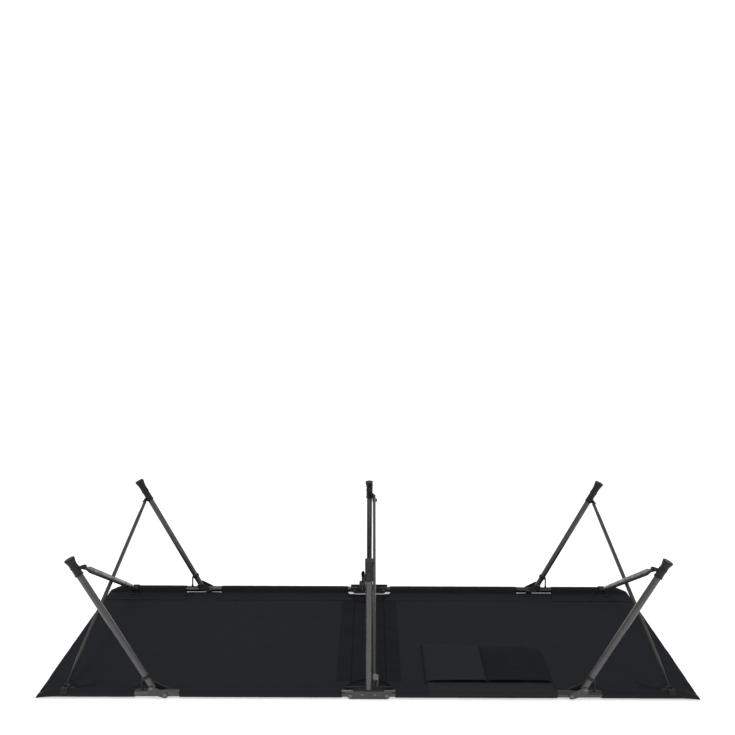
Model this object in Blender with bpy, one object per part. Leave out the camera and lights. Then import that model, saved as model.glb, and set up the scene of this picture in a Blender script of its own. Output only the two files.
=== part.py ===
"""Folding camp cot, lying on its sleeping face with its legs up.

Two side rails, each in two halves that hinge on a plate pair at mid length, carry a fabric sheet.
Three leg sets stand on the rails. Each end set has a near and a far leg, and each leg's boot
holds a cross brace that runs to the opposite rail. The middle set has two upright legs and two
braces that hinge on the plates.

Units are metres. X runs along the cot, Y across it, Z up. The floor is z = 0 and the origin is
under the middle of the cot. An object's origin is its joint's axis point where it moves.
"""

import math

import bmesh
import bpy
from mathutils import Vector

# Overall
FABRIC_LENGTH = 1.900
HALF_SPAN = 0.312  # rail axis to the middle of the cot
RAIL_HEIGHT = 0.0125  # rail axis above the floor
GAP = 0.0003  # kept between parts that touch

# Tubes
RAIL_RADIUS = 0.0105
LEG_RADIUS = 0.0095
TUBE_WALL = 0.0012
RAIL_INNER_END = 0.0445
RAIL_OUTER_END = 0.8950
BRACE_HALF_WIDTH = 0.0095
BRACE_HALF_DEPTH = 0.0050

# Middle hinge
PIN_X = 0.0525
PIN_RADIUS = 0.0030
PLATE_THICKNESS = 0.0020
PLATE_LOW_HALF = 0.056
PLATE_HIGH_HALF = 0.067
PLATE_LOW = 0.0010
PLATE_HIGH = 0.0265

# End legs: the pivot is on the rail axis, and the leg stands off it by LEG_OFFSET
PIVOT_X = 0.581
LEG_OFFSET = 0.024
LEG_LEAN = math.radians(25.0)
LEG_START = 0.0300  # along the leg from the foot of the perpendicular through the pivot
LEG_END = 0.4620
BOOT_START = 0.3960
BOOT_END = 0.4751
CHEEK_INSIDE = 0.0110  # cheek's inner face from the rail axis
CHEEK_THICKNESS = 0.0020
WEB = ((-0.0117, 0.0305), (-0.0117, 0.0345), (-0.0099, 0.0345), (-0.0099, 0.0305))  # inward, up
CHEEK_REACH = 0.028

# Cross braces: where each meets its boot, and its clip on the opposite rail
BRACE_STANDOFF = 0.0215
BRACE_SIDE_ANGLE = math.radians(58.0)
BALL_RADIUS = 0.0060
CLIP_INBOARD = 0.0180
CLIP_ABOVE = 0.012
TIP_CLEARANCE = 0.024  # the brace stops this far short of its clip's pin line
SETS = {
    "near": {"side": -1, "along": 0.432, "inner": 1, "clip_x": 0.853},
    "far": {"side": 1, "along": 0.3985, "inner": -1, "clip_x": 0.868},
}
# Middle of a brace's swing seen from its leg: along the leg, inward, across
SWING_MIDDLE = (-0.80, -0.20, 0.56)

# Middle set
MID_LEG_TOP = 0.4180
MID_BOOT_START = 0.3730
MID_BOOT_END = 0.4330
MID_BRACE_X = 0.0165
MID_HINGE_INBOARD = 0.026
MID_HINGE_HEIGHT = 0.022
MID_BRACE_TOP = 0.385

# Boots
BOOT_RADIUS = 0.0120
BOOT_WAIST = 0.0116
BOOT_FLARE = 0.0148
BOOT_BORE = 0.0098
BOOT_FLAT = 0.0112  # from a middle leg's axis to the flat that its brace passes

# Fabric
SHEET = 0.0015
SLEEVE_OUTER = 0.0125
SLEEVE_INNER = 0.0111
FLAP_WIDTH = 0.068
NOTCH_DEPTH = 0.016
CUTOUT = (0.540, 0.668)  # the rail is bare between these, round the leg pivot
MID_CUTOUT = 0.076
SLEEVE_END = 0.910
POCKET = {"x": (0.170, 0.545), "y": (-0.2430, -0.042), "wall": 0.0015, "height": 0.0100}

ROUND = 16
UP = Vector((0, 0, 1))
ALONG = Vector((1, 0, 0))
ACROSS = Vector((0, 1, 0))


def material(name, colour, roughness, metallic):
    """A Principled material, made once for each name."""
    found = bpy.data.materials.get(name) or bpy.data.materials.new(name)
    found.use_nodes = True
    shader = found.node_tree.nodes["Principled BSDF"]
    shader.inputs["Base Color"].default_value = (*colour, 1.0)
    shader.inputs["Roughness"].default_value = roughness
    shader.inputs["Metallic"].default_value = metallic
    found.diffuse_color = (*colour, 1.0)
    return found


FINISHES = {
    "tube": ((0.060, 0.060, 0.062), 0.38, 0.6),
    "plastic": ((0.020, 0.020, 0.021), 0.50, 0.0),
    "plate": ((0.110, 0.110, 0.105), 0.42, 0.7),
    "rivet": ((0.300, 0.300, 0.300), 0.35, 1.0),
    "fabric": ((0.016, 0.017, 0.020), 0.90, 0.0),
    "lever": ((0.330, 0.330, 0.320), 0.45, 0.0),
}


def finish(name, mesh, finish_name, origin=(0, 0, 0), smooth=True):
    """Makes mesh, given in world places, the object called name with its origin at origin."""
    bmesh.ops.recalc_face_normals(mesh, faces=mesh.faces)
    bmesh.ops.translate(mesh, vec=-Vector(origin), verts=mesh.verts)
    data = bpy.data.meshes.new(name)
    mesh.to_mesh(data)
    mesh.free()
    if smooth:
        data.shade_smooth()
        data.set_sharp_from_angle(angle=math.radians(35))
    data.materials.append(material(finish_name, *FINISHES[finish_name]))
    made = bpy.data.objects.new(name, data)
    made.location = origin
    bpy.context.scene.collection.objects.link(made)
    return made


def shape(target, kind, mesh):
    """Adds a Boolean to target with mesh, given in world places, as its hidden operand."""
    bmesh.ops.recalc_face_normals(mesh, faces=mesh.faces)
    data = bpy.data.meshes.new(target.name + "_" + kind.lower())
    mesh.to_mesh(data)
    mesh.free()
    tool = bpy.data.objects.new(data.name, data)
    tool.hide_render = True
    tool.display_type = "WIRE"
    bpy.context.scene.collection.objects.link(tool)
    step = target.modifiers.new(kind.title(), "BOOLEAN")
    step.operation = kind
    step.solver = "EXACT"
    step.object = tool


def ring(centre, u, v, half_u, half_v=None, count=ROUND):
    """Points of an ellipse about centre, with half axes along the unit vectors u and v."""
    half_v = half_u if half_v is None else half_v
    points = []
    for i in range(count):
        turn = 2 * math.pi * i / count
        points.append(centre + u * half_u * math.cos(turn) + v * half_v * math.sin(turn))
    return points


def loft(rings, closed=False):
    """A skin over rings of equal count. It is capped, or closed runs on to the first ring."""
    mesh = bmesh.new()
    rows = [[mesh.verts.new(point) for point in points] for points in rings]
    pairs = list(zip(rows, rows[1:]))
    if closed:
        pairs.append((rows[-1], rows[0]))
    else:
        mesh.faces.new(reversed(rows[0]))
        mesh.faces.new(rows[-1])
    for low, high in pairs:
        count = len(low)
        for i in range(count):
            j = (i + 1) % count
            mesh.faces.new((low[i], low[j], high[j], high[i]))
    return mesh


def sides_of(axis):
    """Two unit vectors square to axis and to each other."""
    first = axis.orthogonal().normalized()
    return first, axis.cross(first).normalized()


def turned(profile, base, axis, closed=False, count=ROUND):
    """Turns (distance along axis, radius) points round the axis through base."""
    u, v = sides_of(axis)
    return loft([ring(base + axis * d, u, v, r, count=count) for d, r in profile], closed)


def tube(start, end, radius, wall=TUBE_WALL, count=ROUND):
    """A straight tube, open at both ends."""
    length = (end - start).length
    profile = [(0, radius), (length, radius), (length, radius - wall), (0, radius - wall)]
    return turned(profile, start, (end - start).normalized(), closed=True, count=count)


def rod(start, end, radius, count=12):
    """A straight solid rod."""
    length = (end - start).length
    return turned([(0, radius), (length, radius)], start, (end - start).normalized(), count=count)


def prism(outline, normal, thickness):
    """An outline of points, given thickness along normal."""
    return loft([outline, [point + normal * thickness for point in outline]])


def box(low, high):
    """A block between two corners."""
    (x0, y0, z0), (x1, y1, z1) = low, high
    outline = [Vector(p) for p in ((x0, y0, z0), (x1, y0, z0), (x1, y1, z0), (x0, y1, z0))]
    return prism(outline, UP, z1 - z0)


def oval(first, second, radius_first, radius_second, normal, count=7):
    """Outline round two circles, with half of each circle's points on its outer side."""
    way = (second - first).normalized()
    side = normal.cross(way).normalized()
    points = []
    for centre, radius, turn in ((second, radius_second, -1), (first, radius_first, 1)):
        for i in range(count):
            angle = math.pi * (i / (count - 1) - 0.5)
            out = way * math.cos(angle) * -turn + side * math.sin(angle) * -turn
            points.append(centre + out * radius)
    return points


def rivet(name, place, half_grip, origin, head=0.0056):
    """A rivet along Y through place, its heads just outside a grip of twice half_grip."""
    half = half_grip + GAP
    cap = 0.0014
    profile = [
        (-half - cap, head * 0.7),
        (-half - cap * 0.5, head),
        (-half, head),
        (-half, PIN_RADIUS),
        (half, PIN_RADIUS),
        (half, head),
        (half + cap * 0.5, head),
        (half + cap, head * 0.7),
    ]
    finish(name, turned(profile, place, ACROSS, count=12), "rivet", origin)


def pin_hole(target, place, reach=0.020):
    """Drills a running hole for a pin, along Y through place."""
    start = place - ACROSS * reach
    end = place + ACROSS * reach
    shape(target, "DIFFERENCE", rod(start, end, PIN_RADIUS + GAP))


class EndLeg:
    """Places of one end leg: end is -1 for left and 1 for right, row is near or far."""

    def __init__(self, end, row):
        facts = SETS[row]
        self.end = end
        self.side = facts["side"]
        self.name = f"{row}_{'left' if end < 0 else 'right'}"
        self.up = Vector((end * math.sin(LEG_LEAN), 0, math.cos(LEG_LEAN)))
        self.inner = Vector((-end * math.cos(LEG_LEAN), 0, math.sin(LEG_LEAN)))
        self.across = Vector((0, -self.side, 0))
        self.pivot = Vector((end * PIVOT_X, self.side * HALF_SPAN, RAIL_HEIGHT))
        self.base = self.pivot - self.inner * LEG_OFFSET
        stand = self.across * math.cos(BRACE_SIDE_ANGLE)
        stand += self.inner * facts["inner"] * math.sin(BRACE_SIDE_ANGLE)
        self.joint = self.at(facts["along"]) + stand * BRACE_STANDOFF
        clip_y = -self.side * (HALF_SPAN - CLIP_INBOARD)
        self.clip = Vector((end * facts["clip_x"], clip_y, RAIL_HEIGHT + CLIP_ABOVE))
        along, inward, across = SWING_MIDDLE
        swing = self.up * along + self.inner * inward + self.across * across
        self.swing = swing.normalized()

    def at(self, distance):
        """The point that far up the leg's axis."""
        return self.base + self.up * distance


def boot_profile(start, end):
    """Turned outline of a boot: a sleeve that flares to its foot, with a blind bore."""
    length = end - start
    return [
        (0.0, BOOT_BORE),
        (0.0, BOOT_RADIUS),
        (length * 0.30, BOOT_RADIUS),
        (length * 0.55, BOOT_WAIST),
        (length * 0.80, (BOOT_WAIST + BOOT_FLARE) / 2),
        (length * 0.94, BOOT_FLARE),
        (length, BOOT_FLARE - 0.0006),
    ]


def boot_mesh(start_point, axis, start, end, bore_end):
    """A boot on the axis, closed at its foot, its bore stopping just past the tube's end."""
    outside = boot_profile(start, end)
    depth = bore_end - start + GAP
    inside = [(depth, 0.0020), (depth, BOOT_BORE)]
    return turned(inside + outside, start_point, axis, count=ROUND)


def brace_sections(start, finish_point, flat_side):
    """Rings of a brace from its ball end to its flattened tip: the outside, then the bore back."""
    way = (finish_point - start).normalized()
    length = (finish_point - start).length
    thick = (flat_side - way * flat_side.dot(way)).normalized()
    wide = way.cross(thick).normalized()
    neck = BALL_RADIUS - 0.0004
    outside = [
        (-BALL_RADIUS * 0.92, 0.0022, 0.0022),
        (-BALL_RADIUS * 0.60, 0.0048, 0.0048),
        (0.0, BALL_RADIUS, BALL_RADIUS),
        (0.046, neck, neck),
        (0.080, BRACE_HALF_WIDTH, BRACE_HALF_DEPTH),
        (length - 0.045, BRACE_HALF_WIDTH, BRACE_HALF_DEPTH),
        (length - 0.018, 0.0085, 0.0026),
        (length, 0.0065, 0.0024),
    ]
    inside = [
        (length, 0.0065 - TUBE_WALL, 0.0024 - TUBE_WALL),
        (length - 0.018, 0.0085 - TUBE_WALL, 0.0026 - TUBE_WALL),
        (length - 0.045, BRACE_HALF_WIDTH - TUBE_WALL, BRACE_HALF_DEPTH - TUBE_WALL),
        (0.082, BRACE_HALF_WIDTH - TUBE_WALL, BRACE_HALF_DEPTH - TUBE_WALL),
    ]
    rows = outside + inside
    return [ring(start + way * d, wide, thick, w, t, count=12) for d, w, t in rows]


def make_rails():
    """Four rail halves with their pin holes, the plugs in their outer ends and the middle pins."""
    for row, side in (("near", -1), ("far", 1)):
        for word, end in (("left", -1), ("right", 1)):
            y = side * HALF_SPAN
            inner = Vector((end * RAIL_INNER_END, y, RAIL_HEIGHT))
            outer = Vector((end * RAIL_OUTER_END, y, RAIL_HEIGHT))
            pin = Vector((end * PIN_X, y, RAIL_HEIGHT))
            name = f"{row}_{word}"
            rail = finish(name + "_rail", tube(inner, outer, RAIL_RADIUS), "tube", pin)
            pin_hole(rail, pin)
            pin_hole(rail, Vector((end * PIVOT_X, y, RAIL_HEIGHT)))
            bore = RAIL_RADIUS - TUBE_WALL - GAP
            head = RAIL_RADIUS - 0.0002
            plug = [(-0.018, bore), (GAP, bore), (GAP, head), (0.004, head), (0.006, head * 0.8)]
            plug_mesh = turned(plug, outer, ALONG * end, count=12)
            finish(name + "_rail_plug", plug_mesh, "plastic", pin)
            half_grip = RAIL_RADIUS + GAP + PLATE_THICKNESS
            rivet(name + "_hinge_pin", pin, half_grip, pin)


def make_middle_plates():
    """Plate pairs that join the rail halves, the inner ones with the brace ear and its stub pin."""
    outline = (
        (-PLATE_LOW_HALF, PLATE_LOW),
        (PLATE_LOW_HALF, PLATE_LOW),
        (PLATE_HIGH_HALF, RAIL_HEIGHT + 0.004),
        (PLATE_HIGH_HALF, PLATE_HIGH),
        (-PLATE_HIGH_HALF, PLATE_HIGH),
        (-PLATE_HIGH_HALF, RAIL_HEIGHT + 0.004),
    )
    for row, side in (("near", -1), ("far", 1)):
        for face, out in (("outer", 1), ("inner", -1)):
            start = side * (HALF_SPAN + out * (RAIL_RADIUS + GAP))
            points = [Vector((x, start, z)) for x, z in outline]
            mesh = prism(points, ACROSS * side * out, PLATE_THICKNESS)
            plate = finish(f"{row}_{face}_hinge_plate", mesh, "plate", smooth=False)
            if face == "inner":
                add_ear(plate, side)
            for end in (-1, 1):
                pin_hole(plate, Vector((end * PIN_X, side * HALF_SPAN, RAIL_HEIGHT)), 0.016)


def mid_hinge(side):
    """Axis point of the middle brace's hinge on the rail at side."""
    y = side * (HALF_SPAN - MID_HINGE_INBOARD)
    return Vector((-side * MID_BRACE_X, y, MID_HINGE_HEIGHT))


def add_ear(plate, side):
    """An upright ear beside the middle brace, carrying the stub pin along X."""
    hinge = mid_hinge(side)
    way = -side  # from the cot's middle towards this hinge
    near_face = hinge.x + way * (BRACE_HALF_DEPTH + 0.0008)
    y_plate = side * (HALF_SPAN - RAIL_RADIUS - GAP - PLATE_THICKNESS / 2)
    ear = [
        Vector((near_face, y_plate, hinge.z - 0.009)),
        Vector((near_face, hinge.y - side * 0.006, hinge.z - 0.009)),
        Vector((near_face, hinge.y - side * 0.009, hinge.z)),
        Vector((near_face, hinge.y - side * 0.005, hinge.z + 0.008)),
        Vector((near_face, y_plate, hinge.z + 0.0035)),
    ]
    shape(plate, "UNION", prism(ear, ALONG * way, 0.0030))
    start = Vector((hinge.x - way * (BRACE_HALF_DEPTH + 0.0012), hinge.y, hinge.z))
    end = Vector((near_face + way * 0.0068, hinge.y, hinge.z))
    shape(plate, "UNION", rod(start, end, PIN_RADIUS, count=10))


def make_middle_legs():
    """Upright legs of the middle set, their boots, and the two braces between them."""
    for row, side in (("near", -1), ("far", 1)):
        foot = Vector((0, side * HALF_SPAN, 0))
        leg = tube(foot + UP * 0.0030, foot + UP * MID_LEG_TOP, LEG_RADIUS)
        finish(f"{row}_middle_leg", leg, "tube")
        start = foot + UP * MID_BOOT_START
        mesh = boot_mesh(start, UP, MID_BOOT_START, MID_BOOT_END, MID_LEG_TOP)
        boot = finish(f"{row}_middle_boot", mesh, "plastic")
        faces = sorted((side * BOOT_FLAT, side * 0.030))
        low, high = MID_BOOT_START - 0.001, MID_BOOT_END + 0.001
        beside = box((faces[0], foot.y - 0.03, low), (faces[1], foot.y + 0.03, high))
        shape(boot, "DIFFERENCE", beside)
        add_rest(boot, side)
        hinge = mid_hinge(side)
        top = Vector((hinge.x, -side * (HALF_SPAN - 0.012), MID_BRACE_TOP))
        way = (top - hinge).normalized()
        wide = way.cross(ALONG)
        rows = [
            (-0.0085, 0.0045, 0.0040),
            (-0.0050, 0.0080, BRACE_HALF_DEPTH),
            (0.030, BRACE_HALF_WIDTH, BRACE_HALF_DEPTH),
            ((top - hinge).length, BRACE_HALF_WIDTH, BRACE_HALF_DEPTH),
            ((top - hinge).length, BRACE_HALF_WIDTH - TUBE_WALL, BRACE_HALF_DEPTH - TUBE_WALL),
            (0.030, BRACE_HALF_WIDTH - TUBE_WALL, BRACE_HALF_DEPTH - TUBE_WALL),
        ]
        rings = [ring(hinge + way * d, wide, ALONG, w, t, count=12) for d, w, t in rows]
        brace = finish(f"{row}_middle_brace", loft(rings), "tube", hinge)
        reach = ALONG * 0.012
        shape(brace, "DIFFERENCE", rod(hinge - reach, hinge + reach, PIN_RADIUS + GAP))


def add_rest(boot, side):
    """A lug on the boot, under the end of the brace that comes from the other rail."""
    x = side * MID_BRACE_X
    low = MID_BRACE_TOP - 0.026
    far_x = x + side * (BRACE_HALF_DEPTH - 0.001)
    y = side * HALF_SPAN
    corners = sorted((side * 0.0105, far_x))
    shelf = box((corners[0], y - 0.005, low), (corners[1], y + 0.005, low + 0.010))
    shape(boot, "UNION", shelf)
    shape(boot, "UNION", boot_bridge(side, low))


def boot_bridge(side, low):
    """The lug's root, running up into the boot's sleeve."""
    y = side * HALF_SPAN
    corners = sorted((side * 0.0104, side * 0.0150))
    return box((corners[0], y - 0.0045, low + 0.002), (corners[1], y + 0.0045, low + 0.030))


def make_levers():
    """Release levers on the stub pins, each with a tab across its top."""
    for row, side, look in (("near", -1, "lever"), ("far", 1, "plastic")):
        hinge = mid_hinge(side)
        way = -side
        face = hinge.x + way * (BRACE_HALF_DEPTH + 0.0008 + 0.0030 + 0.0004)
        foot = Vector((face, hinge.y, hinge.z))
        head = Vector((face, side * (HALF_SPAN - 0.0120), hinge.z + 0.040))
        arm = prism(oval(foot, head, 0.0065, 0.0045, ALONG), ALONG * way, 0.0020)
        lever = finish(f"{row}_release_lever", arm, look, hinge, smooth=False)
        inner_x = side * -0.0120
        y = head.y
        tab = [
            Vector((face + way * 0.0018, y - 0.001, hinge.z + 0.027)),
            Vector((inner_x, y - 0.001, hinge.z + 0.027)),
            Vector((inner_x, y - 0.001, hinge.z + 0.047)),
            Vector((face - way * 0.004, y - 0.001, hinge.z + 0.047)),
            Vector((face + way * 0.0018, y - 0.001, hinge.z + 0.040)),
        ]
        shape(lever, "UNION", prism(tab, ACROSS, 0.0020))
        reach = ALONG * 0.004
        shape(lever, "DIFFERENCE", rod(foot - reach, foot + reach, PIN_RADIUS + GAP))


def make_bracket(leg):
    """Two oval cheeks, one on each side of rail and leg, joined by a web behind the leg."""
    reach = leg.at(CHEEK_REACH)
    outline = oval(leg.pivot, reach, 0.0100, 0.0130, ACROSS)
    start = CHEEK_INSIDE + CHEEK_THICKNESS
    low = [point - ACROSS * start for point in outline]
    bracket = finish(
        leg.name + "_leg_bracket", prism(low, ACROSS, CHEEK_THICKNESS), "plate", leg.pivot, False
    )
    high = [point + ACROSS * CHEEK_INSIDE for point in outline]
    shape(bracket, "UNION", prism(high, ACROSS, CHEEK_THICKNESS))
    corners = []
    for inward, up in WEB:
        corners.append(leg.at(up) + leg.inner * inward - ACROSS * (start - 0.0005))
    shape(bracket, "UNION", prism(corners, ACROSS, 2 * start - 0.0010))
    pin_hole(bracket, leg.pivot, 0.018)
    rivet(leg.name + "_leg_rivet", leg.pivot, start, leg.pivot)


def make_stay(leg):
    """A collar on the leg with a post that stops it on the rail."""
    centre = leg.at(0.070)
    half = leg.up * 0.004
    inside = LEG_RADIUS + GAP
    profile = [(0, 0.0120), (0.008, 0.0120), (0.008, inside), (0, inside)]
    collar = turned(profile, centre - half, leg.up, closed=True)
    stay = finish(leg.name + "_leg_stay", collar, "plastic", leg.pivot)
    top = centre - leg.inner * 0.0132
    foot = Vector((top.x + leg.end * 0.003, top.y, RAIL_HEIGHT + RAIL_RADIUS + GAP + 0.0008))
    shape(stay, "UNION", rod(foot, top, 0.0026, count=8))


def ball(centre, axis, radius):
    """A sphere, a little flat at its poles."""
    steps = [math.radians(a) for a in range(-80, 81, 20)]
    profile = [(radius * math.sin(a), radius * math.cos(a)) for a in steps]
    return turned(profile, centre, axis, count=12)


def make_end_boot(leg):
    """The leg's boot, with a cup on its side for the ball end of the brace."""
    mesh = boot_mesh(leg.at(BOOT_START), leg.up, BOOT_START, BOOT_END, LEG_END)
    boot = finish(leg.name + "_boot", mesh, "plastic", leg.joint)
    back = -leg.swing
    u, v = sides_of(back)
    rings = []
    for radius, angles in ((0.0068, (8, 32, 58)), (0.0094, (58, 32, 8))):
        for angle in angles:
            turn = math.radians(angle)
            centre = leg.joint + back * radius * math.cos(turn)
            rings.append(ring(centre, u, v, radius * math.sin(turn), count=12))
    shape(boot, "UNION", loft(rings))
    root = leg.base + leg.up * ((leg.joint - leg.base).dot(leg.up) + 0.0075)
    toward = (leg.joint + back * 0.0084 - root).normalized()
    start = root + toward * (BOOT_BORE + 0.0010)
    shape(boot, "UNION", rod(start, leg.joint + back * 0.0084, 0.0050, count=10))
    shape(boot, "DIFFERENCE", ball(leg.joint, back, BALL_RADIUS + 0.0009))


def make_end_legs():
    """Both rows' end legs with bracket, stay, boot and cross brace."""
    for row in SETS:
        for end in (-1, 1):
            leg = EndLeg(end, row)
            mesh = tube(leg.at(LEG_START), leg.at(LEG_END), LEG_RADIUS)
            finish(leg.name + "_leg", mesh, "tube", leg.pivot)
            make_bracket(leg)
            make_stay(leg)
            make_end_boot(leg)
            tip = leg.clip + (leg.joint - leg.clip).normalized() * TIP_CLEARANCE
            rings = brace_sections(leg.joint, tip, ALONG)
            finish(leg.name + "_brace", loft(rings), "tube", leg.joint)
            make_clip(leg)


def make_clip(leg):
    """A saddle over the hem on the opposite rail, where the brace comes down."""
    axis_y = -leg.side * HALF_SPAN
    inside, outside = SLEEVE_OUTER + GAP, SLEEVE_OUTER + 0.0025
    angles = [math.radians(a) for a in range(-15, 151, 15)]
    outline = []
    for radius, row in ((outside, angles), (inside, reversed(angles))):
        for angle in row:
            y = axis_y + leg.side * radius * math.cos(angle)
            outline.append(Vector((leg.clip.x - 0.009, y, RAIL_HEIGHT + radius * math.sin(angle))))
    finish(leg.name + "_brace_clip", prism(outline, ALONG, 0.018), "plastic")


def sleeve(side, x_from, x_to):
    """The hem round a rail, open where it turns back on to the flap."""
    axis_y = side * HALF_SPAN
    angles = [math.radians(a) for a in range(-80, 211, 29)]
    outline = []
    for radius, row in ((SLEEVE_OUTER, angles), (SLEEVE_INNER, reversed(angles))):
        for angle in row:
            y = axis_y - side * radius * math.cos(angle)
            z = max(RAIL_HEIGHT + radius * math.sin(angle), 0.0)
            outline.append(Vector((x_from, y, z)))
    return prism(outline, ALONG, x_to - x_from)


def hem_spans(end):
    """X ranges of one half's sleeves, low end first."""
    spans = ((MID_CUTOUT, CUTOUT[0]), (CUTOUT[1], SLEEVE_END))
    return [tuple(sorted((end * a, end * b))) for a, b in spans]


def flap_outline(side, end, x_inner, y_far):
    """Plan of a flat fabric strip beside a rail, notched where the rail is bare."""
    edge = side * HALF_SPAN
    notch = edge - side * NOTCH_DEPTH
    slope = 0.012
    x_out = FABRIC_LENGTH / 2
    steps = [
        (x_inner, notch),
        (MID_CUTOUT, notch),
        (MID_CUTOUT, edge),
        (CUTOUT[0], edge),
        (CUTOUT[0] + slope, notch),
        (CUTOUT[1] - slope, notch),
        (CUTOUT[1], edge),
        (x_out, edge),
        (x_out, y_far),
        (x_inner, y_far),
    ]
    return [Vector((end * x, y, 0)) for x, y in steps]


def make_fabric():
    """The sheet in three panels, hemmed round the near rail, and the far rail's hems."""
    flap_far = HALF_SPAN - FLAP_WIDTH
    for word, end in (("left", -1), ("right", 1)):
        pin = Vector((end * PIN_X, 0, RAIL_HEIGHT))
        inner = PIN_X + 0.0005
        near = flap_outline(-1, end, inner, flap_far - GAP)
        panel = finish(f"{word}_panel", prism(near, UP, SHEET), "fabric", pin)
        for low, high in hem_spans(end):
            shape(panel, "UNION", sleeve(-1, low, high))
        far = flap_outline(1, end, inner + 0.0050, flap_far)
        hem = finish(f"far_{word}_hem", prism(far, UP, SHEET), "fabric", pin)
        for low, high in hem_spans(end):
            shape(hem, "UNION", sleeve(1, low, high))
    half = HALF_SPAN - NOTCH_DEPTH
    middle = box((-PIN_X + 0.0005, -half, 0), (PIN_X - 0.0005, half, SHEET))
    finish("middle_panel", middle, "fabric")


def make_pocket():
    """A flat storage pocket on the underside, open towards the near rail."""
    (x0, x1), (y0, y1) = POCKET["x"], POCKET["y"]
    low = SHEET + GAP
    high = low + POCKET["height"]
    wall = POCKET["wall"]
    mesh = box((x0, y0, low), (x1, y1, high))
    pocket = finish("pocket", mesh, "fabric", (PIN_X, 0, RAIL_HEIGHT), smooth=False)
    inside = box((x0 + wall, y0 - 0.01, low - 0.001), (x1 - wall, y1 - wall, high - wall))
    shape(pocket, "DIFFERENCE", inside)


for old in list(bpy.data.objects):
    bpy.data.objects.remove(old, do_unlink=True)
make_rails()
make_middle_plates()
make_middle_legs()
make_levers()
make_end_legs()
make_fabric()
make_pocket()
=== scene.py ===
"""Looks of the folding camp cot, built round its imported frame.

The cot lies on its sleeping face with its legs up. Lengths are in metres: X runs along the cot, Y
across it and Z up. Every piece is a surface worked out on a grid of two parameters, laid where its
CAD solid is, and it rides on that solid's body.
"""

import math

import bmesh
import bpy
import numpy as np
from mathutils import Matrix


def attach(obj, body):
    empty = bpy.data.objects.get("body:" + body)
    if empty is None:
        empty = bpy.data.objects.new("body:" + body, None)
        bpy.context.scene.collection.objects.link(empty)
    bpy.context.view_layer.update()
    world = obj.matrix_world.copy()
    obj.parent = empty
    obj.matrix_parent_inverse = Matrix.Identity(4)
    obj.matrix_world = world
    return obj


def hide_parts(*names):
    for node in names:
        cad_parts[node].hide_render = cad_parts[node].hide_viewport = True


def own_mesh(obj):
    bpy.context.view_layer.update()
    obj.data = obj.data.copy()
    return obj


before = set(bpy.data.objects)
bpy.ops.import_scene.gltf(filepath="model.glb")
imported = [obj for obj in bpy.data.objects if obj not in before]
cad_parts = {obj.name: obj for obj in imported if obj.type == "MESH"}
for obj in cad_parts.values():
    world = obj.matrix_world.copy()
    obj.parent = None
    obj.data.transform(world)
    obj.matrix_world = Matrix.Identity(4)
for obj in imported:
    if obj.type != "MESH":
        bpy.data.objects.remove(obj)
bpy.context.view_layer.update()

# Sizes of the frame, as its source has them
HALF_SPAN = 0.312
RAIL_HEIGHT = 0.0125
RAIL_RADIUS = 0.0105
LEG_RADIUS = 0.0095
WALL = 0.0012
RAIL_ENDS = (0.0445, 0.8950)
PIN_X = 0.0525
PIVOT_X = 0.581
LEG_OFFSET = 0.024
LEG_LEAN = math.radians(25.0)
LEG_SPAN = (0.0300, 0.4620)
BOOT_SPAN = (0.3960, 0.4751)
CHEEK_INSIDE = 0.0110
CHEEK_THICKNESS = 0.0020
BRACE_STANDOFF = 0.0215
BRACE_SIDE_ANGLE = math.radians(58.0)
BRACE_HALF_WIDTH = 0.0095
BRACE_HALF_DEPTH = 0.0050
CLIP_INBOARD = 0.018
CLIP_ABOVE = 0.012
MID_LEG_TOP = 0.4180
MID_BOOT_SPAN = (0.3730, 0.4330)
MID_BRACE_X = 0.0165
BOOT_FLAT = 0.0112
MID_HINGE = (0.026, 0.022)  # inboard of the rail axis, above the floor
MID_BRACE_TOP = 0.385
HALF_LENGTH = 0.950
CUTOUT = (0.540, 0.668)
ARCH_HALF = 0.0745
ARCH_DEPTH = 0.066
FLAP_WIDTH = 0.068
SLEEVE_RADIUS = 0.0122
EDGE_INSET = 0.0125  # from a rail's axis to the cloth's long edge
CLOTH_EDGE = HALF_SPAN - EDGE_INSET
STRIP_START = 0.014  # from a rail's axis to the start of a turned-back strip
FOLD_KEEP = 0.159  # share of the cloth's width left when the rails have closed
NEAR_BOOT_LATER = 0.026  # how much further up its leg a near boot starts than in the frame
ROWS = {
    "near": {"side": -1, "along": 0.432, "inner": 1, "clip_x": 0.853},
    "far": {"side": 1, "along": 0.3985, "inner": -1, "clip_x": 0.868},
}
HALVES = {"left": -1, "right": 1}
SWING_MIDDLE = (-0.80, -0.20, 0.56)

X, Y, Z = np.eye(3)


# --- surfaces ---


def unit(v):
    """v over its length."""
    v = np.asarray(v, float)
    return v / np.linalg.norm(v)


def square_to(way):
    """Two unit vectors square to way and to each other."""
    helper = Z if abs(way[2]) < 0.9 else X
    first = unit(np.cross(helper, way))
    return first, np.cross(way, first)


def ramp(x, low, high):
    """0 up to low, 1 from high, and 3t^2 - 2t^3 between."""
    t = np.clip((np.asarray(x, float) - low) / (high - low), 0, 1)
    return t * t * (3 - 2 * t)


def ripple(x, y, seed, size, octaves=3):
    """Smooth unevenness from -1 to 1: a sum of sines of x and y turned by angles set by seed."""
    total = np.zeros(np.broadcast(x, y).shape)
    weight = 0.0
    for k in range(octaves):
        share = 0.6**k
        for m in range(3):
            angle = seed * 1.7 + k * 2.1 + m * 2.4
            rate = 2 * math.pi * (1.6**k) * (1 + 0.23 * m) / size
            run = x * math.cos(angle) + y * math.sin(angle)
            total += share * np.sin(run * rate + seed * 5.3 + m * 1.9 + k)
            weight += share
    return total / weight * 1.6


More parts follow.
